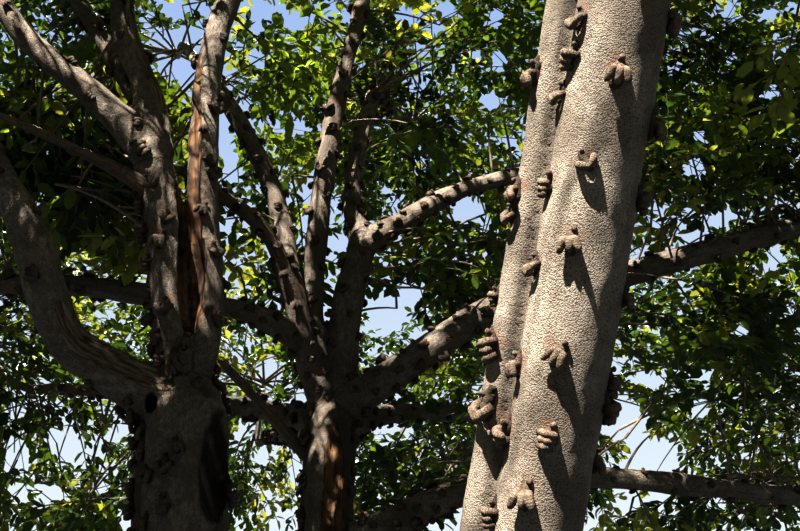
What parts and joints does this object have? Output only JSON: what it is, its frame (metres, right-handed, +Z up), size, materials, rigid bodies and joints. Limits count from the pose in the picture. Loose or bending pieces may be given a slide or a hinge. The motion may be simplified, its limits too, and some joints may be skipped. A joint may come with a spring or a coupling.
{
  "type": "knobbly fig tree",
  "caption": "Broad evergreen fig tree of leaning stems from one root crown, with knobbly fruiting spurs on its bark and layered masses of leaves.",
  "frame": {"origin": "middle of the flat cut under the root crown, at ground level", "axes": "+Z straight up, -Y towards the camera of the picture, +X to the right in it"},
  "size_m": [12.3968, 13.0162, 10.6642],
  "materials": {
    "bark": "rough grey-brown bark with close pits and woody knobs",
    "dead_wood": "bare weathered wood",
    "leaves": "leathery, slightly glossy dark green leaves"
  },
  "bodies": {
    "root": {"bough_back_left": "bark", "bough_back_middle": "bark", "bough_back_right": "bark", "bough_broken": "dead_wood", "bough_centre_back": "bark", "bough_centre_back_up": "bark", "bough_centre_dead": "dead_wood", "bough_centre_left": "bark", "bough_centre_low_left": "bark", "bough_centre_low_right": "bark", "bough_centre_peeled": "bark", "bough_centre_right": "bark", "bough_centre_upright": "bark", "bough_front": "bark", "bough_front_inner": "bark", "bough_left_back": "bark", "bough_left_dead": "dead_wood", "bough_left_elbow": "bark", "bough_left_front": "bark", "bough_left_high": "bark", "bough_left_inner": "bark", "bough_left_middle": "bark", "bough_left_upright": "bark", "bough_right_front": "bark", "bough_right_inner": "bark", "bough_right_side": "bark", "bough_right_upright": "bark", "centre_stem": "bark", "left_stem": "bark", "mass_back": "leaves", "mass_back_high": "leaves", "mass_back_left": "leaves", "mass_back_right": "leaves", "mass_centre_left": "leaves", "mass_centre_right": "leaves", "mass_far_left": "leaves", "mass_far_right": "leaves", "mass_front": "leaves", "mass_front_inner": "leaves", "mass_left_back": "leaves", "mass_left_front": "leaves", "mass_left_high": "leaves", "mass_left_low": "leaves", "mass_right_back": "leaves", "mass_right_front": "leaves", "mass_right_high": "leaves", "mass_right_inner": "leaves", "mass_right_low": "leaves", "mass_top_back": "leaves", "mass_top_left": "leaves", "mass_top_right": "leaves", "right_stem": "bark", "root_crown": "bark"}
  },
  "joints": []
}
